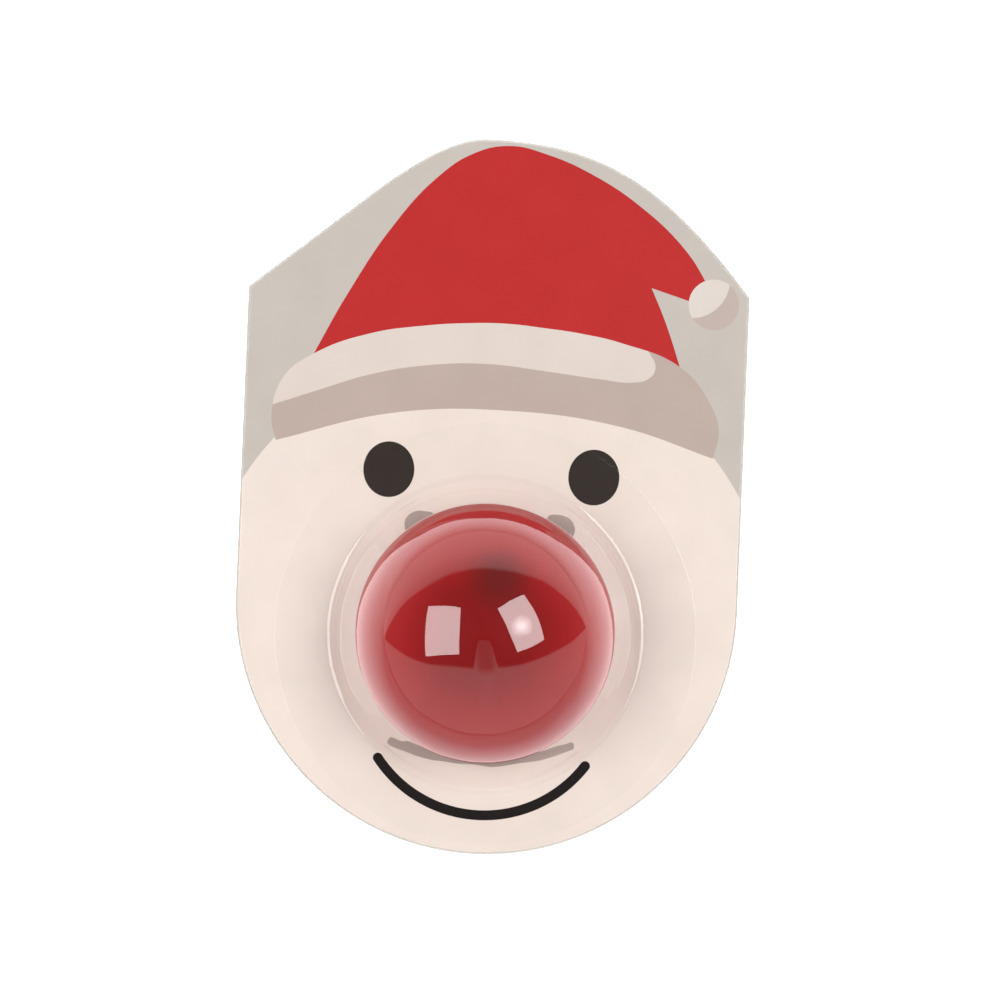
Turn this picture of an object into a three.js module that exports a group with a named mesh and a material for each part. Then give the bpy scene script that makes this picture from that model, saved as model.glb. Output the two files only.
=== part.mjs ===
// A clown nose on a display card: a red ball nose, open at the back, under a clear formed
// dome, whose flat flange is sealed onto the printed face of a die-cut card that lies flat.
// Millimetres. +Z is up out of the card, +Y is towards the card's peak.
// The origin is under the middle of the card's outline, on the face that it lies on.
import * as THREE from "three";

// Fit: the gap left between pieces that touch
const FIT_GAP = 0.25;

// Nose: the larger part of a ball, open at the back, with a rounded rim
const NOSE_RADIUS = 27.3;
const NOSE_HEIGHT = 35;
const NOSE_WALL = 1.6;

// Dome: a ball cap, a sharp shoulder, and a steep wall that flares out into a flat round flange
const DOME_WALL = 0.4;
const ROOM_BESIDE_NOSE = 2.2;
const ROOM_ABOVE_NOSE = 0.6;
const SHOULDER_ANGLE = (25.2 * Math.PI) / 180;
const WALL_SLOPE = (75 * Math.PI) / 180;
const FLARE_RADIUS = 2.4;
const FLANGE_WIDTH = 10.8;

// Card: a back ply and a printed front ply, the back one a little wider all round
const BACK_PLY = 0.6;
const FRONT_PLY = 0.6;
const BACK_PLY_PROUD = 0.5;
const CARD_PAST_FLANGE_AT_SIDES = 8.5;
const CARD_PAST_FLANGE_BELOW = 2;

// The card's head, above the nose's middle: its peak and its two upper corners
const PEAK_RISE = 104.9;
const PEAK_LEFT = 4;
const LEFT_CORNER_RISE = 71.7;
const RIGHT_CORNER_RISE = 73.4;

// Points of the head's outline, as shares of the way between the two ends named beside each
const HEAD = {
  slopeEnd: { across: 0.48, up: 0.58 }, // left corner to peak
  leftHandle: { across: 0.65, up: 1 }, // end of the slope to peak
  peakHandle: { across: 0.42, up: 0 }, // peak to right corner
  cornerHandle: { across: 0.34, up: 0.77 }, // right corner to peak
};

// Facets of a full turn, and of the arcs in a profile or an outline
const NOSE_FACETS = 48;
const DOME_FACETS = 48;
const BALL_STEPS = 12;
const CAP_STEPS = 8;
const FLARE_STEPS = 4;
const RIM_STEPS = 4;
const OUTLINE_STEPS = 16;

// Heights above the face that the card lies on; the nose and the dome stand on the seat
const backTop = BACK_PLY;
const frontBottom = backTop + FIT_GAP;
const frontTop = frontBottom + FRONT_PLY;
const seat = frontTop + FIT_GAP;
const flangeTop = seat + DOME_WALL;

// The nose stands on its rim, which is at some angle under the ball's middle
const noseMiddle = seat + NOSE_HEIGHT - NOSE_RADIUS;
const rimRadius = NOSE_WALL / 2;
const rimAcross = NOSE_RADIUS - rimRadius;
const rimAngle = Math.asin((noseMiddle - seat - rimRadius) / rimAcross);

// The dome follows the nose that it holds
const domeRadius = NOSE_RADIUS + ROOM_BESIDE_NOSE + DOME_WALL;
const domeMiddle = seat + NOSE_HEIGHT + ROOM_ABOVE_NOSE + DOME_WALL - domeRadius;
const shoulderReach = domeRadius * Math.cos(SHOULDER_ANGLE);
const shoulderHeight = domeMiddle + domeRadius * Math.sin(SHOULDER_ANGLE);
const flareMiddle = flangeTop + FLARE_RADIUS;
const wallReach = (shoulderHeight - flareMiddle) / Math.tan(WALL_SLOPE);
const flareReach = shoulderReach + wallReach + FLARE_RADIUS / Math.sin(WALL_SLOPE);
const flangeRadius = flareReach + FLANGE_WIDTH;

// The card follows the flange that is sealed to it
const cardHalfWidth = flangeRadius + CARD_PAST_FLANGE_AT_SIDES;
const cardBottomDrop = flangeRadius + CARD_PAST_FLANGE_BELOW;
const noseY = (cardBottomDrop - PEAK_RISE) / 2;

// Points along an arc in a profile, both ends included.
function arcPoints(x, y, radius, from, to, steps) {
  return Array.from({ length: steps + 1 }, (_, i) => {
    const angle = from + ((to - from) * i) / steps;
    return new THREE.Vector2(x + radius * Math.cos(angle), y + radius * Math.sin(angle));
  });
}

// A solid of revolution about the upright axis through the nose's middle.
function turned(profile, facets) {
  const geometry = new THREE.LatheGeometry(profile, facets);
  return geometry.rotateX(Math.PI / 2).translate(0, noseY, 0);
}

// A plate of the given outline between two heights.
function plate(outline, bottom, top) {
  const settings = { depth: top - bottom, bevelEnabled: false, curveSegments: OUTLINE_STEPS };
  return new THREE.ExtrudeGeometry(outline, settings).translate(0, 0, bottom);
}

function piece(name, geometry, finish) {
  const mesh = new THREE.Mesh(geometry, new THREE.MeshStandardMaterial(finish));
  mesh.name = name;
  return mesh;
}

// A point some share of the way from one point to another.
function partWay(from, to, share) {
  return new THREE.Vector2(
    from.x + (to.x - from.x) * share.across,
    from.y + (to.y - from.y) * share.up,
  );
}

// The card's outline, drawn in all round by the inset: a straight slope from the left corner,
// one curve over the peak to the right corner, straight sides and a half-round bottom.
function cardOutline(inset) {
  const half = cardHalfWidth - inset;
  const roundMiddle = noseY - cardBottomDrop + cardHalfWidth;
  const left = new THREE.Vector2(-half, noseY + LEFT_CORNER_RISE - inset / 2);
  const peak = new THREE.Vector2(-PEAK_LEFT, noseY + PEAK_RISE - inset);
  const right = new THREE.Vector2(half, noseY + RIGHT_CORNER_RISE - inset / 2);
  const slopeEnd = partWay(left, peak, HEAD.slopeEnd);
  const leftHandle = partWay(slopeEnd, peak, HEAD.leftHandle);
  const peakHandle = partWay(peak, right, HEAD.peakHandle);
  const cornerHandle = partWay(right, peak, HEAD.cornerHandle);
  const outline = new THREE.Shape();
  outline.moveTo(left.x, left.y);
  outline.lineTo(slopeEnd.x, slopeEnd.y);
  outline.quadraticCurveTo(leftHandle.x, leftHandle.y, peak.x, peak.y);
  outline.bezierCurveTo(...peakHandle, ...cornerHandle, right.x, right.y);
  outline.lineTo(half, roundMiddle);
  outline.absarc(0, roundMiddle, half, 0, -Math.PI, true);
  outline.closePath();
  return outline;
}

function cardBack() {
  const finish = { color: 0xe9e6e0, roughness: 0.7, metalness: 0 };
  return piece("card_back", plate(cardOutline(0), 0, backTop), finish);
}

function cardFront() {
  const finish = { color: 0xf0e2d8, roughness: 0.45, metalness: 0 };
  return piece("card_front", plate(cardOutline(BACK_PLY_PROUD), frontBottom, frontTop), finish);
}

function clearDome() {
  const inside = domeRadius - DOME_WALL;
  const underFlare = FLARE_RADIUS + DOME_WALL;
  const wallEnd = -Math.PI / 2 - WALL_SLOPE;
  const outer = [
    ...arcPoints(0, domeMiddle, domeRadius, Math.PI / 2, SHOULDER_ANGLE, CAP_STEPS),
    ...arcPoints(flareReach, flareMiddle, FLARE_RADIUS, wallEnd, -Math.PI / 2, FLARE_STEPS),
    new THREE.Vector2(flangeRadius, flangeTop),
  ];
  const inner = [
    ...arcPoints(0, domeMiddle, inside, Math.PI / 2, SHOULDER_ANGLE, CAP_STEPS),
    ...arcPoints(flareReach, flareMiddle, underFlare, wallEnd, -Math.PI / 2, FLARE_STEPS),
    new THREE.Vector2(flangeRadius, seat),
  ];
  const profile = [...outer, ...inner.reverse()];
  profile[0].x = 0;
  profile.at(-1).x = 0;
  const finish = { color: 0xf4f6f7, roughness: 0.05, metalness: 0, transparent: true, opacity: 0.3 };
  return piece("clear_dome", turned(profile.reverse(), DOME_FACETS), finish);
}

function noseShell() {
  const inside = NOSE_RADIUS - NOSE_WALL;
  const rimReach = rimAcross * Math.cos(rimAngle);
  const rimMiddle = noseMiddle - rimAcross * Math.sin(rimAngle);
  const rimEnd = -rimAngle - Math.PI;
  const profile = [
    ...arcPoints(0, noseMiddle, NOSE_RADIUS, Math.PI / 2, -rimAngle, BALL_STEPS),
    ...arcPoints(rimReach, rimMiddle, rimRadius, -rimAngle, rimEnd, RIM_STEPS).slice(1, -1),
    ...arcPoints(0, noseMiddle, inside, -rimAngle, Math.PI / 2, BALL_STEPS),
  ];
  profile[0].x = 0;
  profile.at(-1).x = 0;
  const finish = { color: 0x9c1218, roughness: 0.35, metalness: 0 };
  return piece("nose_shell", turned(profile.reverse(), NOSE_FACETS), finish);
}

const part = new THREE.Group();
part.add(cardBack(), cardFront(), clearDome(), noseShell());
export default part;
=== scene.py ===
"""A clown nose under a clear dome that is sealed to a printed card, lying in a plain studio.

Metres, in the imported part's own frame: +Z is up out of the card, +Y is towards its peak.
The print is laid out from the middle of the nose, as it is on the card.
"""
import math

import bpy
from mathutils import Euler, Matrix, Vector


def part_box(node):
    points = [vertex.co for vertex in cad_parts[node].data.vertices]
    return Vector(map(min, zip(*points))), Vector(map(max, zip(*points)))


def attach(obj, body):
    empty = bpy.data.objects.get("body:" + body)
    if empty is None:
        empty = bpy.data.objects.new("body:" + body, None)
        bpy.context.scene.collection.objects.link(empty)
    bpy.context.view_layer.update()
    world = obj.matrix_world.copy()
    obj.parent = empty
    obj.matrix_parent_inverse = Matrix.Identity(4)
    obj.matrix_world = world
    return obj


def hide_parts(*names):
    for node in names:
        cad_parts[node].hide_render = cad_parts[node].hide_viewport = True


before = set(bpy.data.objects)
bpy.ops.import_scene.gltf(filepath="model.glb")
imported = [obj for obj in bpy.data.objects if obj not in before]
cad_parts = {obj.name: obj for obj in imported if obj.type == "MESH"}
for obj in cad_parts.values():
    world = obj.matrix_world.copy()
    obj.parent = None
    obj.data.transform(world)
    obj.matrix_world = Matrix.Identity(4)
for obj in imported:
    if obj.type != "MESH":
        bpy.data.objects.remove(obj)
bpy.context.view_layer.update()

MM = 0.001
UP = Vector((0, 0, 1))

# What the frame gives: the plies of the card, the nose and the dome's flange
back_low, back_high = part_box("card_back")
front_low, front_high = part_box("card_front")
nose_low, nose_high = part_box("nose_shell")
dome_low, dome_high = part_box("clear_dome")
nose_place = (nose_low + nose_high) / 2
nose_radius = (nose_high.x - nose_low.x) / 2
flange_radius = (dome_high.x - dome_low.x) / 2

# The card's head, above the nose's middle: its peak and its two upper corners
PEAK_LEFT = 4 * MM
LEFT_CORNER_RISE = 71.7 * MM
RIGHT_CORNER_RISE = 73.4 * MM
CARD_EDGE_ROUND = 0.12 * MM

# Points of the head's outline, as shares of the way between the two ends named beside each
SLOPE_END = (0.48, 0.58)  # left corner to peak, across and up
CREST_HANDLE = 0.65  # end of the slope to peak, across
PEAK_HANDLE = 0.42  # peak to right corner, across
CORNER_HANDLE = (0.34, 0.77)  # right corner to peak, across and up
SIDE_HANDLE = 10 * MM
QUARTER_ROUND = 0.5523  # a quarter circle's handles, as a share of its radius

# Nose and dome; the cap's edge and the wall are given by how far they lean from upright
NOSE_WALL = 1.6 * MM
RIM_CLEAR = 0.02 * MM
DOME_WALL = 0.4 * MM
DOME_RADIUS = 29.9 * MM
CAP_LEAN = math.radians(64.8)
WALL_LEAN = math.radians(75)
SHOULDER_ROUND = 0.6 * MM
FLARE_RADIUS = 2.4 * MM
FILM_EDGE_ROUND = 0.12 * MM
TURNED_STEPS = 144

# Rings of the dome's wall and flange, as shares of their width: narrow ones keep the wide ones' shading flat
WALL_RINGS = (0.02, 0.96, 0.02)
FLANGE_RINGS = (0.48, 0.48, 0.04)

# Where the flare takes the sealed film and its foot takes the foot film, in flare radii short of its end
SEALED_FROM = 0.7
FOOT_FROM = 0.42

# The print, in millimetres from the nose's middle: "corner" knots are sharp, the others smooth
FACE_RADIUS = 61.0
CAP = [
    (-39.6, 56.0, "corner"), (-32.0, 70.9, ""), (-22.8, 85.9, ""), (-14.2, 96.1, ""), (-6.6, 101.6, ""),
    (1.0, 103.5, ""), (9.0, 102.0, ""), (19.0, 98.0, ""), (29.4, 91.6, ""), (38.7, 83.3, ""),
    (43.2, 77.0, ""), (46.0, 71.0, "corner"),
    (40.4, 72.1, "corner"), (32.2, 74.6, "corner"), (35.4, 67.5, ""), (39.6, 56.0, "corner"),
]
BRIM = [
    (-46.0, 39.2, "corner"), (-47.1, 44.3, ""), (-44.8, 52.8, ""), (-38.4, 58.0, ""), (-26.5, 62.7, ""),
    (-16.2, 64.6, ""), (-6.3, 65.6, ""), (1.8, 65.8, ""), (9.8, 65.2, ""), (18.0, 64.3, ""),
    (26.2, 62.7, ""), (38.9, 58.1, ""), (45.0, 51.5, ""), (47.6, 45.0, ""), (46.6, 39.0, "corner"),
    (27.0, 44.9, ""), (2.5, 47.4, ""), (-21.8, 45.9, ""),
]
BRIM_LIGHT = [
    (-50.0, 45.6, "corner"), (-38.1, 49.9, ""), (-26.2, 54.0, ""), (-14.0, 56.4, ""), (-2.0, 57.1, ""),
    (10.1, 56.1, ""), (22.5, 54.8, ""), (28.8, 54.4, ""), (32.4, 55.4, ""), (33.7, 57.7, ""),
    (32.3, 60.8, ""), (28.0, 66.0, "corner"), (-50.0, 68.0, "corner"),
]
BOBBLE = (45.5, 71.6, 5.35)
BOBBLE_LIGHT = (40.5, 76.8, 8.25)
EYE_LEFT = (-21.8, 34.0)
EYE_RIGHT = (21.6, 34.0)
EYE_HALF = (5.4, 5.9)
MOUTH_MIDDLE = (0.3, -11.4)
MOUTH_RADIUS = 26.9
MOUTH_STROKE = 2.1
MOUTH_HALF_TURN = math.radians(54.5)

# The camera, with the picture's width on the card
CAMERA_DISTANCE = 1.5
CAMERA_AIM = (1.96 * MM, -0.69 * MM)
CAMERA_TILT = math.radians(1.85)
CAMERA_ROLL = math.radians(2.35)
PICTURE_WIDTH = 211.5 * MM
SENSOR_WIDTH = 36

# The room's brightness by the tilt from straight up towards the card's peak, in degrees
ROOM_TURN = math.radians(5.3)
ROOM_STRENGTH = 1.4
ROOM_LEVELS = (
    (-90, 0.60), (-60, 0.56), (-31, 0.51), (-28.5, 0.04),
    (51.5, 0.05), (54.5, 0.51), (70, 0.76), (90, 1.00),
)
BACKDROP_LEVEL = 0.9

# A tongue of the wall before the nose reaches up between the lamps: its place across, half its width
# from full rise to none, its rise, its light, and the tilts over which it sets in and grows dim
GAP_ACROSS = 0.025
GAP_HALF = (0.05, 0.21)
GAP_RISE = math.radians(26)
GAP_LIGHT = 0.35
GAP_STARTS = (-0.02, -0.10)
GAP_DIMS = (-0.62, -0.50)

# The floor under the card, which glows as a painted pool of light: its paint, its glow a metre from the nose
# and all over it, the nearest that the glow counts from, and the glow's shares before and behind the nose,
# with how far off these hold
TABLE_PAINT = (0.64, 0.64, 0.64)
PAINTED_GLOW_POOL = 0.14
PAINTED_GLOW_ALL_OVER = 0.25
GLOW_NEAREST = 0.05
GLOW_SHARES = (0.05, 1.5)
GLOW_REACH = 0.12

# The lamps: how far they are from the nose, and the bulb in the right one as rings of width and radiance
LAMP_DISTANCE = 1.5
BULB_DISTANCE = 1.45
BULB_RINGS = ((0.15, 4), (0.26, 2.4), (0.38, 1.2))

# The nose's red at the crown and at the sides, darkest and lightest, and where one gives way to the other:
# the darker crown is painted shade and the lighter sides are painted light, as the sides catch more light
# than the top
CROWN_RED_PAINTED_SHADE = ((0.240, 0.004, 0.005), (0.265, 0.005, 0.006))
SIDE_RED_PAINTED_LIGHT = ((0.370, 0.010, 0.012), (0.405, 0.012, 0.014))
SHADED_CROWN_REACH = (8 * MM, 22 * MM)

# A dusky place in the nose's red: its colour, its place from the nose's middle, its fading and its share
DUSKY_RED = (0.11, 0.010, 0.009)
DUSKY_PLACE = (2.5 * MM, 11.5 * MM)
DUSKY_REACH = (1 * MM, 9.5 * MM)
DUSKY_SHARE = 0.72

# The inks, in the order of the front ply's material slots
PAPER_INKS = (
    "ground_grey", "face_cream", "cap_red", "brim_dark", "brim_light",
    "ball_dark", "ball_light", "eye_black", "mouth_black",
)


def deselect_all():
    """Back to object mode with nothing selected."""
    if bpy.context.object and bpy.context.object.mode != "OBJECT":
        bpy.ops.object.mode_set(mode="OBJECT")
    bpy.ops.object.select_all(action="DESELECT")


def choose(obj, *others):
    """Selects these objects alone, with the first one active."""
    deselect_all()
    for one in (obj, *others):
        one.select_set(True)
    bpy.context.view_layer.objects.active = obj


def settle(obj):
    """Puts the object's place into its mesh, so that it sits at the origin."""
    choose(obj)
    bpy.ops.object.transform_apply(location=True, rotation=True, scale=True)


def pick_faces(obj, wanted):
    """In edit mode, selects the faces for which wanted is true, and nothing else."""
    choose(obj)
    bpy.ops.object.mode_set(mode="EDIT")
    bpy.ops.mesh.select_mode(type="FACE")
    bpy.ops.mesh.select_all(action="DESELECT")
    bpy.ops.object.mode_set(mode="OBJECT")
    for face in obj.data.polygons:
        face.select = wanted(face)
    bpy.ops.object.mode_set(mode="EDIT")


def apply_modifiers(obj):
    """Makes the object's modifiers part of its mesh, in their order."""
    choose(obj)
    for modifier in list(obj.modifiers):
        bpy.ops.object.modifier_apply(modifier=modifier.name)


def draw_line(knots, steps):
    """A closed line through the knots, as a mesh of edges at height 0.

    A knot is x, y and either "corner", "" for a smooth one, or its two handles.
    """
    deselect_all()
    bpy.ops.curve.primitive_bezier_curve_add(location=(0, 0, 0))
    line = bpy.context.object
    line.data.dimensions = "2D"
    line.data.fill_mode = "NONE"
    line.data.resolution_u = steps
    line.data.render_resolution_u = steps
    bpy.ops.object.mode_set(mode="EDIT")
    bpy.ops.curve.select_all(action="DESELECT")
    points = line.data.splines[0].bezier_points
    for point, knot in zip(points, knots):
        point.co = (knot[0], knot[1], 0)
    points[1].select_control_point = True
    for here, there in zip(knots[1:], knots[2:]):
        step = (there[0] - here[0], there[1] - here[1], 0)
        bpy.ops.curve.extrude_move(TRANSFORM_OT_translate={"value": step})
    bpy.ops.curve.cyclic_toggle()
    bpy.ops.object.mode_set(mode="OBJECT")
    for point, knot in zip(line.data.splines[0].bezier_points, knots):
        kind = knot[2]
        if isinstance(kind, str):
            point.handle_left_type = "VECTOR" if kind == "corner" else "AUTO"
            point.handle_right_type = point.handle_left_type
        else:
            point.handle_left_type = "FREE"
            point.handle_right_type = "FREE"
            point.handle_left = (*kind[0], 0)
            point.handle_right = (*kind[1], 0)
    bpy.ops.object.convert(target="MESH")
    return bpy.context.object


def on_card(point):
    """A point of the print, moved from the nose's middle to its place on the card."""
    return Vector((point[0] * MM, nose_place.y + point[1] * MM))


def draw_print_line(knots):
    """A line of the print, at its place on the card."""
    placed = []
    for x, y, kind in knots:
        if not isinstance(kind, str):
            kind = (on_card(kind[0]), on_card(kind[1]))
        placed.append((*on_card((x, y)), kind))
    return draw_line(placed, 10)


def draw_oval(middle, half_width, half_height, steps=72):
    """A closed oval of the print, as a mesh of edges."""
    deselect_all()
    place = (middle[0] * MM, nose_place.y + middle[1] * MM, 0)
    bpy.ops.mesh.primitive_circle_add(vertices=steps, radius=half_width * MM, location=place)
    bpy.ops.object.mode_set(mode="EDIT")
    bpy.ops.mesh.select_all(action="SELECT")
    bpy.ops.transform.resize(value=(1, half_height / half_width, 1))
    bpy.ops.object.mode_set(mode="OBJECT")
    oval = bpy.context.object
    settle(oval)
    return oval


def arc_bends(middle, radius, start, turn, count):
    """An arc as bends, each given by the point it starts from and its two handles."""
    step = turn / count
    pull = 4 / 3 * math.tan(step / 4) * radius
    bends = []
    for i in range(count):
        here, there = start + i * step, start + (i + 1) * step
        out_here = Vector((math.cos(here), math.sin(here)))
        out_there = Vector((math.cos(there), math.sin(there)))
        point = middle + radius * out_here
        leaving = point + pull * Vector((-out_here.y, out_here.x))
        arriving = middle + radius * out_there - pull * Vector((-out_there.y, out_there.x))
        bends.append((point, leaving, arriving))
    return bends


def mouth_knots():
    """The mouth's stroke: an outer arc, a round end, an inner arc and a round end."""
    middle = Vector(MOUTH_MIDDLE)
    half = MOUTH_STROKE / 2
    right = MOUTH_HALF_TURN - math.pi / 2
    left = -MOUTH_HALF_TURN - math.pi / 2
    right_end = middle + MOUTH_RADIUS * Vector((math.cos(right), math.sin(right)))
    left_end = middle + MOUTH_RADIUS * Vector((math.cos(left), math.sin(left)))
    bends = arc_bends(middle, MOUTH_RADIUS + half, left, 2 * MOUTH_HALF_TURN, 4)
    bends += arc_bends(right_end, half, right, math.pi, 2)
    bends += arc_bends(middle, MOUTH_RADIUS - half, right, -2 * MOUTH_HALF_TURN, 4)
    bends += arc_bends(left_end, half, left + math.pi, math.pi, 2)
    return [(*bend[0], (before[2], bend[1])) for before, bend in zip(bends[-1:] + bends[:-1], bends)]


def part_way(start, end, across, up):
    """A point some shares of the way from one point to another, across and up."""
    return start + Vector((across * (end.x - start.x), up * (end.y - start.y)))


def card_knots(low, high):
    """The card's outline between the corners of its box: slope, peak, sides and a half-round foot."""
    half = (high.x - low.x) / 2
    inset = back_high.x - high.x
    left = Vector((-half, nose_place.y + LEFT_CORNER_RISE - inset / 2))
    peak = Vector((-PEAK_LEFT, high.y))
    right = Vector((half, nose_place.y + RIGHT_CORNER_RISE - inset / 2))
    slope_end = part_way(left, peak, *SLOPE_END)
    crest = Vector((slope_end.x + CREST_HANDLE * (peak.x - slope_end.x), peak.y))
    peak_out = Vector((peak.x + PEAK_HANDLE * (right.x - peak.x), peak.y))
    right_in = part_way(right, peak, *CORNER_HANDLE)
    round_y = low.y + half
    pull = QUARTER_ROUND * half
    return [
        (left.x, left.y, "corner"),
        (slope_end.x, slope_end.y, (slope_end.lerp(left, 0.3), slope_end.lerp(crest, 2 / 3))),
        (peak.x, peak.y, (peak.lerp(crest, 2 / 3), peak_out)),
        (right.x, right.y, (right_in, right - Vector((0, SIDE_HANDLE)))),
        (half, round_y, ((half, round_y + SIDE_HANDLE), (half, round_y - pull))),
        (0, low.y, ((pull, low.y), (-pull, low.y))),
        (-half, round_y, ((-half, round_y - pull), (-half, round_y + SIDE_HANDLE))),
    ]


def make_ply(name, low, high):
    """One ply of the card: its outline filled, raised and lightly rounded along its upper edge."""
    ply = draw_line(card_knots(low, high), 30)
    ply.name = name
    choose(ply)
    bpy.ops.object.mode_set(mode="EDIT")
    bpy.ops.mesh.select_mode(type="VERT")
    bpy.ops.mesh.select_all(action="SELECT")
    bpy.ops.mesh.remove_doubles(threshold=0.01 * MM)
    bpy.ops.mesh.edge_face_add()
    bpy.ops.transform.translate(value=(0, 0, low.z))
    rise = high.z - low.z - CARD_EDGE_ROUND
    bpy.ops.mesh.extrude_region_move(TRANSFORM_OT_translate={"value": (0, 0, rise)})
    bpy.ops.object.mode_set(mode="OBJECT")
    pick_faces(ply, lambda face: face.center.z > high.z - CARD_EDGE_ROUND - 0.01 * MM)
    bpy.ops.mesh.inset(thickness=CARD_EDGE_ROUND)
    bpy.ops.transform.translate(value=(0, 0, CARD_EDGE_ROUND))
    bpy.ops.mesh.select_all(action="SELECT")
    bpy.ops.mesh.normals_make_consistent(inside=False)
    bpy.ops.object.mode_set(mode="OBJECT")
    return ply


def raise_walls(line, foot, head):
    """Turns a line of the print into an upright wall between two heights."""
    choose(line)
    bpy.ops.object.mode_set(mode="EDIT")
    bpy.ops.mesh.select_mode(type="VERT")
    bpy.ops.mesh.select_all(action="SELECT")
    bpy.ops.transform.translate(value=(0, 0, foot))
    bpy.ops.mesh.extrude_region_move(TRANSFORM_OT_translate={"value": (0, 0, head - foot)})
    bpy.ops.object.mode_set(mode="OBJECT")


def loop_of(line):
    """The places of a closed line's points, in order round it."""
    neighbours = {}
    for edge in line.data.edges:
        a, b = edge.vertices
        neighbours.setdefault(a, []).append(b)
        neighbours.setdefault(b, []).append(a)
    order = [0, neighbours[0][0]]
    while len(order) < len(line.data.vertices):
        ahead = [n for n in neighbours[order[-1]] if n != order[-2]]
        order.append(ahead[0])
    return [line.data.vertices[i].co.to_2d() for i in order]


def inside(place, loop):
    """Whether a place on the card is inside a closed line."""
    crossings = 0
    for a, b in zip(loop, loop[1:] + loop[:1]):
        if (a.y > place.y) != (b.y > place.y):
            crossings += place.x < a.x + (place.y - a.y) / (b.y - a.y) * (b.x - a.x)
    return crossings % 2 == 1


def inner_places(mesh):
    """For each face, a place that is surely inside it: the middle of the largest triangle in it."""
    mesh.calc_loop_triangles()
    best = {}
    for triangle in mesh.loop_triangles:
        if triangle.area > best.get(triangle.polygon_index, (0, None))[0]:
            middle = sum((mesh.vertices[i].co for i in triangle.vertices), Vector()) / 3
            best[triangle.polygon_index] = (triangle.area, middle)
    return {face: middle for face, (_, middle) in best.items()}


def print_card(ply):
    """Cuts the ply's face along the lines of the print and gives each part of it its ink."""
    lines = [
        ("face_cream", None, draw_oval((0, 0), FACE_RADIUS, FACE_RADIUS, 240)),
        ("cap_red", None, draw_print_line(CAP)),
        ("brim_dark", None, draw_print_line(BRIM)),
        ("brim_light", "brim_dark", draw_print_line(BRIM_LIGHT)),
        ("ball_dark", None, draw_oval(BOBBLE, BOBBLE[2], BOBBLE[2])),
        ("ball_light", "ball_dark", draw_oval(BOBBLE_LIGHT, BOBBLE_LIGHT[2], BOBBLE_LIGHT[2])),
        ("eye_black", None, draw_oval(EYE_LEFT, *EYE_HALF)),
        ("eye_black", None, draw_oval(EYE_RIGHT, *EYE_HALF)),
        ("mouth_black", None, draw_print_line(mouth_knots())),
    ]
    loops = [(ink, under, loop_of(line)) for ink, under, line in lines]
    cutter = bpy.data.materials.new("cutter")
    names = (*PAPER_INKS, "board")
    for name in names:
        ply.data.materials.append(MATERIALS[name])
    for _, _, line in lines:
        raise_walls(line, front_low.z - MM, front_high.z + MM)
        line.data.materials.append(cutter)
    choose(ply, *(line for _, _, line in lines))
    bpy.ops.object.join()
    cutter_index = ply.data.materials.find("cutter")
    pick_faces(ply, lambda face: face.material_index == cutter_index)
    bpy.ops.mesh.intersect(mode="SELECT_UNSELECT", separate_mode="NONE", solver="EXACT")
    pick_faces(ply, lambda face: face.material_index == cutter_index)
    bpy.ops.mesh.delete(type="FACE")
    bpy.ops.mesh.select_all(action="SELECT")
    bpy.ops.mesh.remove_doubles(threshold=0.001 * MM)
    bpy.ops.object.mode_set(mode="OBJECT")
    ply.data.materials.pop(index=cutter_index)
    bpy.data.materials.remove(cutter)
    board = names.index("board")
    places = inner_places(ply.data)
    for face in ply.data.polygons:
        ink = "ground_grey"
        for name, under, loop in loops:
            if (under is None or under == ink) and inside(places[face.index], loop):
                ink = name
        face.material_index = names.index(ink) if face.normal.z > 0.5 else board
    bpy.ops.object.mode_set(mode="EDIT")
    bpy.ops.mesh.select_all(action="SELECT")
    bpy.ops.mesh.dissolve_limited(angle_limit=math.radians(0.4), delimit={"MATERIAL"})
    bpy.ops.object.mode_set(mode="OBJECT")


def start_profile(name, place):
    """One point at the top of a profile that is to be turned."""
    deselect_all()
    bpy.ops.mesh.primitive_plane_add(size=MM, location=place)
    piece = bpy.context.object
    piece.name = name
    bpy.ops.object.mode_set(mode="EDIT")
    bpy.ops.mesh.select_mode(type="VERT")
    bpy.ops.mesh.select_all(action="SELECT")
    bpy.ops.mesh.merge(type="CENTER")
    return piece


def swing(steps, angle, middle):
    """Carries the end of the profile round an arc: outwards and down for a positive angle."""
    bpy.ops.mesh.spin(steps=steps, angle=angle, center=middle, axis=(0, -1, 0))


def turn_profile():
    """Turns the whole profile about the upright line through the nose, and closes its pole."""
    bpy.ops.mesh.select_all(action="SELECT")
    middle = (0, nose_place.y, 0)
    bpy.ops.mesh.spin(steps=TURNED_STEPS, angle=math.tau, center=middle, axis=(0, 0, 1))
    bpy.ops.mesh.select_all(action="SELECT")
    bpy.ops.mesh.remove_doubles(threshold=0.002 * MM)
    bpy.ops.mesh.normals_make_consistent(inside=False)
    bpy.ops.object.mode_set(mode="OBJECT")
    piece = bpy.context.object
    top = max(piece.data.polygons, key=lambda face: face.center.z)
    if top.normal.z < 0:
        piece.data.flip_normals()
    settle(piece)


def give_wall(piece, wall, rim_round, rim_steps, inner_slot=0):
    """Gives a turned skin its wall, inwards, and rounds the wall's free edges."""
    solidify = piece.modifiers.new("wall", "SOLIDIFY")
    solidify.thickness = wall
    solidify.offset = -1
    solidify.use_even_offset = True
    solidify.material_offset = inner_slot
    bevel = piece.modifiers.new("rim", "BEVEL")
    bevel.width = rim_round
    bevel.segments = rim_steps
    bevel.limit_method = "ANGLE"
    bevel.angle_limit = math.radians(60)
    apply_modifiers(piece)
    bpy.ops.object.shade_smooth_by_angle(angle=math.radians(40))


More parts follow.
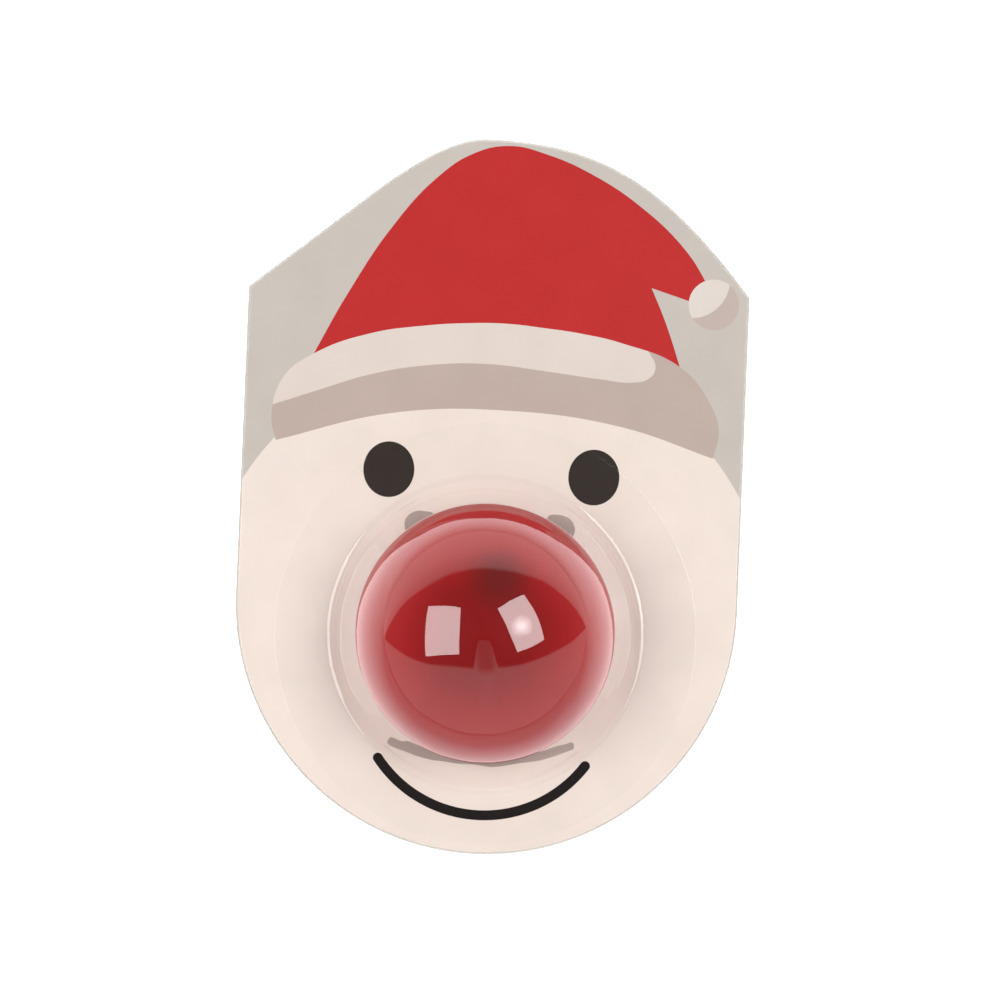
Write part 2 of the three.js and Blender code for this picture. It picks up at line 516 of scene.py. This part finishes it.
def make_nose():
    """The nose: most of a ball, turned from an arc, with a wall and a fully rounded rim."""
    rim_round = NOSE_WALL / 2
    ball_middle = Vector((0, nose_place.y, nose_high.z - nose_radius))
    rim_drop = ball_middle.z - nose_low.z - rim_round - RIM_CLEAR
    below = math.asin(rim_drop / (nose_radius - rim_round)) + rim_round / nose_radius
    nose = start_profile("red_nose", ball_middle + UP * nose_radius)
    swing(48, math.pi / 2 + below, ball_middle)
    turn_profile()
    give_wall(nose, NOSE_WALL, rim_round - 0.01 * MM, 5)
    nose.data.materials.append(MATERIALS["nose_red"])
    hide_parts("nose_shell")
    return nose


def leaning(angle):
    """In the profile's plane, the way out of a surface that leans by an angle from level."""
    return Vector((math.sin(angle), 0, math.cos(angle)))


def make_dome():
    """The dome: a ball cap, a tight shoulder, a steep wall, a flare and a flange, one thin sheet."""
    flange_top = dome_low.z + DOME_WALL
    cap_middle = Vector((0, nose_place.y, dome_high.z - DOME_RADIUS))
    cap_edge = cap_middle + DOME_RADIUS * leaning(CAP_LEAN)
    shoulder_middle = cap_edge - SHOULDER_ROUND * leaning(CAP_LEAN)
    wall_top = shoulder_middle + SHOULDER_ROUND * leaning(WALL_LEAN)
    flare_rise = FLARE_RADIUS * (1 - math.cos(WALL_LEAN))
    wall_length = (wall_top.z - flange_top - flare_rise) / math.sin(WALL_LEAN)
    wall_step = Vector((math.cos(WALL_LEAN), 0, -math.sin(WALL_LEAN))) * wall_length
    flare_middle = wall_top + wall_step + FLARE_RADIUS * leaning(WALL_LEAN)
    flange_step = flange_radius - flare_middle.x
    dome = start_profile("clear_cover", cap_middle + UP * DOME_RADIUS)
    swing(40, CAP_LEAN, cap_middle)
    swing(3, WALL_LEAN - CAP_LEAN, shoulder_middle)
    for share in WALL_RINGS:
        bpy.ops.mesh.extrude_region_move(TRANSFORM_OT_translate={"value": wall_step * share})
    swing(14, -WALL_LEAN, flare_middle)
    for share in FLANGE_RINGS:
        step = (flange_step * share, 0, 0)
        bpy.ops.mesh.extrude_region_move(TRANSFORM_OT_translate={"value": step})
    turn_profile()
    for name in ("clear_film", "film_back", "sealed_film", "foot_film"):
        dome.data.materials.append(MATERIALS[name])
    give_wall(dome, DOME_WALL, FILM_EDGE_ROUND, 2, inner_slot=1)
    axis = Vector((0, nose_place.y))
    seal = flare_middle.x - SEALED_FROM * FLARE_RADIUS
    foot = flare_middle.x - FOOT_FROM * FLARE_RADIUS
    for face in dome.data.polygons:
        reach = (face.center.to_2d() - axis).length
        if reach > seal and face.normal.z > -0.5:
            face.material_index = 3 if foot < reach < flare_middle.x else 2
    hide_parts("clear_dome")
    return dome


def make_card():
    """The card's two plies: the plain back one, and the front one with its print."""
    back = make_ply("card_back_ply", back_low, back_high)
    back.data.materials.append(MATERIALS["board"])
    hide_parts("card_back")
    front = make_ply("card_front_ply", front_low, front_high)
    print_card(front)
    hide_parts("card_front")
    return back, front


def new_material(name):
    """An empty material with its output, ready for nodes."""
    material = bpy.data.materials.new(name)
    material.use_nodes = True
    nodes = material.node_tree.nodes
    nodes.clear()
    output = nodes.new("ShaderNodeOutputMaterial")
    return material, nodes, material.node_tree.links, output


def noise(nodes, links, scale, detail=2.0, roughness=0.5, stretch=None):
    """A noise over the piece's own place, in repeats to the metre."""
    place = nodes.new("ShaderNodeTexCoord")
    pattern = nodes.new("ShaderNodeTexNoise")
    pattern.inputs["Scale"].default_value = scale
    pattern.inputs["Detail"].default_value = detail
    pattern.inputs["Roughness"].default_value = roughness
    if stretch is None:
        links.new(place.outputs["Object"], pattern.inputs["Vector"])
    else:
        mapping = nodes.new("ShaderNodeMapping")
        mapping.inputs["Scale"].default_value = stretch
        links.new(place.outputs["Object"], mapping.inputs["Vector"])
        links.new(mapping.outputs["Vector"], pattern.inputs["Vector"])
    return pattern.outputs["Fac"]


def ramp(nodes, links, value, stops):
    """Colours a value by stops of (place, colour)."""
    stops = list(stops)
    colours = nodes.new("ShaderNodeValToRGB")
    elements = colours.color_ramp.elements
    while len(elements) < len(stops):
        elements.new(0.5)
    for element, (place, colour) in zip(elements, stops):
        element.position = place
        element.color = (*colour, 1)
    links.new(value, colours.inputs["Fac"])
    return colours.outputs["Color"]


def map_over(nodes, links, value, source, target, smooth=False):
    """Carries a value from one range over to another, and holds it at the ends."""
    carried = nodes.new("ShaderNodeMapRange")
    if smooth:
        carried.interpolation_type = "SMOOTHSTEP"
    carried.inputs["From Min"].default_value = source[0]
    carried.inputs["From Max"].default_value = source[1]
    carried.inputs["To Min"].default_value = target[0]
    carried.inputs["To Max"].default_value = target[1]
    links.new(value, carried.inputs["Value"])
    return carried.outputs["Result"]


def span(nodes, links, value, low, high):
    """Spreads a noise, which stays mostly between 0.3 and 0.7, over a range."""
    return map_over(nodes, links, value, (0.3, 0.7), (low, high))


def distance_to(nodes, links, spot):
    """How far a point of the piece is from a given spot."""
    place = nodes.new("ShaderNodeTexCoord")
    reach = nodes.new("ShaderNodeVectorMath")
    reach.operation = "DISTANCE"
    reach.inputs[1].default_value = spot
    links.new(place.outputs["Object"], reach.inputs[0])
    return reach.outputs["Value"]


def bump(nodes, links, value, height):
    """Raises the surface by a value times a height in metres."""
    relief = nodes.new("ShaderNodeBump")
    relief.inputs["Strength"].default_value = 1.0
    relief.inputs["Distance"].default_value = height
    links.new(value, relief.inputs["Height"])
    return relief.outputs["Normal"]


def scaled(colour, share):
    """A colour made lighter or darker by a share."""
    return tuple(min(1.0, part * share) for part in colour)


def ink_material(name, colour):
    """A flat ink on coated board: faint cloudy mottle, fine tooth, and a sheen that varies."""
    material, nodes, links, output = new_material(name)
    shader = nodes.new("ShaderNodeBsdfPrincipled")
    shader.inputs["Specular IOR Level"].default_value = 0.3
    cloud = noise(nodes, links, 90, 3)
    links.new(
        ramp(nodes, links, cloud, [(0.3, scaled(colour, 0.975)), (0.7, scaled(colour, 1.025))]),
        shader.inputs["Base Color"],
    )
    tooth = noise(nodes, links, 2600, 3, 0.6)
    links.new(span(nodes, links, tooth, 0.3, 0.38), shader.inputs["Roughness"])
    links.new(bump(nodes, links, tooth, 0.012 * MM), shader.inputs["Normal"])
    links.new(shader.outputs["BSDF"], output.inputs["Surface"])
    return material


def board_material(name, colour):
    """Bare paper board: fibres lying in layers, matt."""
    material, nodes, links, output = new_material(name)
    shader = nodes.new("ShaderNodeBsdfPrincipled")
    fibres = noise(nodes, links, 900, 4, 0.65, (1, 1, 6))
    links.new(
        ramp(nodes, links, fibres, [(0.25, scaled(colour, 0.9)), (0.75, scaled(colour, 1.04))]),
        shader.inputs["Base Color"],
    )
    links.new(span(nodes, links, fibres, 0.7, 0.88), shader.inputs["Roughness"])
    links.new(bump(nodes, links, fibres, 0.03 * MM), shader.inputs["Normal"])
    links.new(shader.outputs["BSDF"], output.inputs["Surface"])
    return material


def nose_material(name):
    """Satin red moulded plastic, with painted shade darkening the crown and painted light lifting the sides,
    one dusky place and a soft peel texture.
    """
    material, nodes, links, output = new_material(name)
    shader = nodes.new("ShaderNodeBsdfPrincipled")
    shader.inputs["Specular IOR Level"].default_value = 0.07
    cloud = noise(nodes, links, 70, 3)
    # Painted shade and light: a darker red at the crown, where less light falls, and a lighter red at the
    # sides, where more falls, blended by the distance from the crown
    shaded_crown_red = ramp(nodes, links, cloud, zip((0.3, 0.7), CROWN_RED_PAINTED_SHADE))
    lit_side_red = ramp(nodes, links, cloud, zip((0.3, 0.7), SIDE_RED_PAINTED_LIGHT))
    from_crown = distance_to(nodes, links, (0, nose_place.y, nose_high.z))
    red = nodes.new("ShaderNodeMix")
    red.data_type = "RGBA"
    links.new(map_over(nodes, links, from_crown, SHADED_CROWN_REACH, (0, 1), smooth=True), red.inputs[0])
    links.new(shaded_crown_red, red.inputs[6])
    links.new(lit_side_red, red.inputs[7])
    across, up = DUSKY_PLACE
    height = nose_high.z - nose_radius + math.sqrt(nose_radius**2 - across**2 - up**2)
    away = distance_to(nodes, links, (across, nose_place.y + up, height))
    dusky = nodes.new("ShaderNodeMix")
    dusky.data_type = "RGBA"
    dusky.inputs[7].default_value = (*DUSKY_RED, 1)
    links.new(map_over(nodes, links, away, DUSKY_REACH, (DUSKY_SHARE, 0), smooth=True), dusky.inputs[0])
    links.new(red.outputs[2], dusky.inputs[6])
    links.new(dusky.outputs[2], shader.inputs["Base Color"])
    peel = noise(nodes, links, 420, 2)
    links.new(span(nodes, links, peel, 0.44, 0.54), shader.inputs["Roughness"])
    links.new(bump(nodes, links, peel, 0.02 * MM), shader.inputs["Normal"])
    links.new(shader.outputs["BSDF"], output.inputs["Surface"])
    return material


def math_node(nodes, links, operation, first, second):
    """One sum on two values, each a number or another node's output."""
    node = nodes.new("ShaderNodeMath")
    node.operation = operation
    for value, socket in zip((first, second), node.inputs):
        if isinstance(value, (int, float)):
            socket.default_value = value
        else:
            links.new(value, socket)
    return node.outputs["Value"]


def film_material(name, head_on):
    """Clear formed plastic: see-through, with the gloss of both its faces, which grows with the slope.

    head_on is the share of light that one face sends back when it is looked at squarely.
    The lamps shine through it whole, because what the film sends back lights the card beside it.
    It is weak where the film is sealed to the card, and weakened at the foot of the flare.
    """
    material, nodes, links, output = new_material(name)
    clear = nodes.new("ShaderNodeBsdfTransparent")
    clear.inputs["Color"].default_value = (0.996, 0.998, 0.998, 1)
    gloss = nodes.new("ShaderNodeBsdfGlossy")
    gloss.inputs["Color"].default_value = (1, 1, 1, 1)
    gloss.inputs["Roughness"].default_value = 0.01
    waves = noise(nodes, links, 75, 1)
    links.new(bump(nodes, links, waves, 0.22 * MM), gloss.inputs["Normal"])
    facing = nodes.new("ShaderNodeLayerWeight")
    facing.inputs["Blend"].default_value = 0.5
    steep = math_node(nodes, links, "POWER", facing.outputs["Facing"], 5)
    one_face = map_over(nodes, links, steep, (0, 1), (head_on, 1))
    twice = math_node(nodes, links, "MULTIPLY", one_face, 2)
    more = math_node(nodes, links, "ADD", one_face, 1)
    mirrored = math_node(nodes, links, "DIVIDE", twice, more)
    path = nodes.new("ShaderNodeLightPath")
    lit = math_node(nodes, links, "SUBTRACT", 1, path.outputs["Is Shadow Ray"])
    mix = nodes.new("ShaderNodeMixShader")
    links.new(math_node(nodes, links, "MULTIPLY", mirrored, lit), mix.inputs["Fac"])
    links.new(clear.outputs["BSDF"], mix.inputs[1])
    links.new(gloss.outputs["BSDF"], mix.inputs[2])
    links.new(mix.outputs["Shader"], output.inputs["Surface"])
    return material


def film_back_material(name):
    """The film's inner face: clear, as its gloss is already in that of the outer face."""
    material, nodes, links, output = new_material(name)
    clear = nodes.new("ShaderNodeBsdfTransparent")
    clear.inputs["Color"].default_value = (1, 1, 1, 1)
    links.new(clear.outputs["BSDF"], output.inputs["Surface"])
    return material


MATERIALS = {
    "ground_grey": ink_material("ground_grey_ink", (0.556, 0.508, 0.460)),
    "face_cream": ink_material("face_cream_ink", (0.832, 0.729, 0.658)),
    "cap_red": ink_material("cap_red_ink", (0.502, 0.021, 0.021)),
    "brim_dark": ink_material("brim_dark_ink", (0.503, 0.402, 0.357)),
    "brim_light": ink_material("brim_light_ink", (0.724, 0.634, 0.572)),
    "ball_dark": ink_material("ball_dark_ink", (0.526, 0.433, 0.390)),
    "ball_light": ink_material("ball_light_ink", (0.712, 0.644, 0.586)),
    "eye_black": ink_material("eye_black_ink", (0.030, 0.021, 0.017)),
    "mouth_black": ink_material("mouth_black_ink", (0.006, 0.003, 0.002)),
    "board": board_material("pale_board", (0.78, 0.74, 0.69)),
    "nose_red": nose_material("nose_red_plastic"),
    "clear_film": film_material("clear_film_plastic", 0.042),
    "sealed_film": film_material("sealed_film_plastic", 0.008),
    "foot_film": film_material("foot_film_plastic", 0.026),
    "film_back": film_back_material("clear_film_back"),
}


def make_floor():
    """A plain pale floor that glows as a painted pool of light, brightest where the card lies."""
    deselect_all()
    bpy.ops.mesh.primitive_plane_add(size=6, location=(0, 0, 0))
    floor = bpy.context.object
    floor.name = "floor"
    material, nodes, links, output = new_material("floor_paint_and_painted_glow")
    shader = nodes.new("ShaderNodeBsdfPrincipled")
    shader.inputs["Base Color"].default_value = (*TABLE_PAINT, 1)
    shader.inputs["Roughness"].default_value = 0.9
    shader.inputs["Specular IOR Level"].default_value = 0.1
    shader.inputs["Emission Color"].default_value = (1, 1, 1, 1)
    middle = (0, nose_place.y, 0)
    # Painted pool of light: the floor's glow falls off with the distance from the nose and is stronger
    # behind it than before it
    away = math_node(nodes, links, "MAXIMUM", distance_to(nodes, links, middle), GLOW_NEAREST)
    near_glow = math_node(nodes, links, "DIVIDE", PAINTED_GLOW_POOL, away)
    glow = math_node(nodes, links, "ADD", near_glow, PAINTED_GLOW_ALL_OVER)
    place = nodes.new("ShaderNodeTexCoord")
    parts = nodes.new("ShaderNodeSeparateXYZ")
    links.new(place.outputs["Object"], parts.inputs["Vector"])
    sides = (nose_place.y - GLOW_REACH, nose_place.y + GLOW_REACH)
    share = map_over(nodes, links, parts.outputs["Y"], sides, GLOW_SHARES)
    links.new(math_node(nodes, links, "MULTIPLY", glow, share), shader.inputs["Emission Strength"])
    links.new(shader.outputs["BSDF"], output.inputs["Surface"])
    floor.data.materials.append(material)


def make_surroundings():
    """A studio with bright walls before and behind, and a dark ceiling between them."""
    world = bpy.data.worlds.new("studio")
    world.use_nodes = True
    nodes = world.node_tree.nodes
    links = world.node_tree.links
    nodes.clear()
    output = nodes.new("ShaderNodeOutputWorld")
    place = nodes.new("ShaderNodeTexCoord")
    turn = nodes.new("ShaderNodeVectorRotate")
    turn.rotation_type = "Z_AXIS"
    turn.inputs["Angle"].default_value = -ROOM_TURN
    links.new(place.outputs["Generated"], turn.inputs["Vector"])
    parts = nodes.new("ShaderNodeSeparateXYZ")
    links.new(turn.outputs["Vector"], parts.inputs["Vector"])
    tilt = math_node(nodes, links, "ARCTAN2", parts.outputs["Y"], parts.outputs["Z"])
    across = math_node(nodes, links, "DIVIDE", parts.outputs["X"], parts.outputs["Z"])
    aside = math_node(nodes, links, "ABSOLUTE", math_node(nodes, links, "ADD", across, GAP_ACROSS), 0)
    gap = map_over(nodes, links, aside, GAP_HALF, (GAP_RISE, 0), smooth=True)
    before = map_over(nodes, links, tilt, GAP_STARTS, (0, 1))
    rise = math_node(nodes, links, "MULTIPLY", gap, before)
    lowered = math_node(nodes, links, "SUBTRACT", tilt, rise)
    above_wall = map_over(nodes, links, tilt, GAP_DIMS, (0, 1))
    raised = map_over(nodes, links, rise, (0, GAP_RISE), (0, 1))
    dimmed = math_node(nodes, links, "MULTIPLY", raised, above_wall)
    strength = map_over(nodes, links, dimmed, (0, 1), (ROOM_STRENGTH, ROOM_STRENGTH * GAP_LIGHT))
    share = map_over(nodes, links, lowered, (-math.pi / 2, math.pi / 2), (0, 1))
    stops = [((angle + 90) / 180, (level, level, level)) for angle, level in ROOM_LEVELS]
    light = nodes.new("ShaderNodeBackground")
    links.new(strength, light.inputs["Strength"])
    links.new(ramp(nodes, links, share, stops), light.inputs["Color"])
    seen = nodes.new("ShaderNodeBackground")
    seen.inputs["Color"].default_value = (BACKDROP_LEVEL, BACKDROP_LEVEL, BACKDROP_LEVEL, 1)
    path = nodes.new("ShaderNodeLightPath")
    mix = nodes.new("ShaderNodeMixShader")
    links.new(path.outputs["Is Camera Ray"], mix.inputs["Fac"])
    links.new(light.outputs["Background"], mix.inputs[1])
    links.new(seen.outputs["Background"], mix.inputs[2])
    links.new(mix.outputs["Shader"], output.inputs["Surface"])
    bpy.context.scene.world = world


def make_lamp(name, way, distance, size, long_way, radiance, shape="RECTANGLE"):
    """A soft box some way from the nose that faces it, with its long side along a given way."""
    deselect_all()
    bpy.ops.object.light_add(type="AREA")
    lamp = bpy.context.object
    lamp.name = name
    back = Vector(way).normalized()
    across = Vector(long_way).cross(back).normalized()
    along = back.cross(across)
    lamp.location = Vector((0, nose_place.y, dome_high.z / 2)) + back * distance
    lamp.rotation_euler = Matrix((across, along, back)).transposed().to_euler()
    lamp.data.shape = shape
    lamp.data.size, lamp.data.size_y = size
    lamp.data.energy = radiance * math.pi * size[0] * size[1]


def make_camera():
    """The camera of the photograph: high over the nose, aimed at the middle of the picture."""
    deselect_all()
    turn = Euler((CAMERA_TILT, 0, CAMERA_ROLL))
    ahead = Vector((0, 0, -1))
    ahead.rotate(turn)
    aim = Vector((*CAMERA_AIM, front_high.z))
    bpy.ops.object.camera_add(location=aim - ahead * CAMERA_DISTANCE, rotation=turn)
    camera = bpy.context.object
    camera.data.sensor_width = SENSOR_WIDTH
    camera.data.lens = SENSOR_WIDTH * CAMERA_DISTANCE / PICTURE_WIDTH
    camera.data.clip_start = 0.01
    bpy.context.scene.camera = camera


pieces = (*make_card(), make_nose(), make_dome())
for piece in pieces:
    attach(piece, "root")

make_floor()
make_surroundings()
make_lamp("left_soft_box", (-0.573, 0, 0.82), LAMP_DISTANCE, (0.73, 1.02), (0, 1, 0), 4.8)
make_lamp("right_soft_box", (0.50, 0.15, 0.853), LAMP_DISTANCE, (0.65, 1.03), (-0.435, 0.88, 0.1), 4.9)
for width, radiance in BULB_RINGS:
    size = (width, width)
    make_lamp("right_bulb", (0.48, 0.124, 0.868), BULB_DISTANCE, size, (0, 1, 0), radiance, "ELLIPSE")
make_camera()
bpy.context.scene.view_settings.view_transform = "Standard"
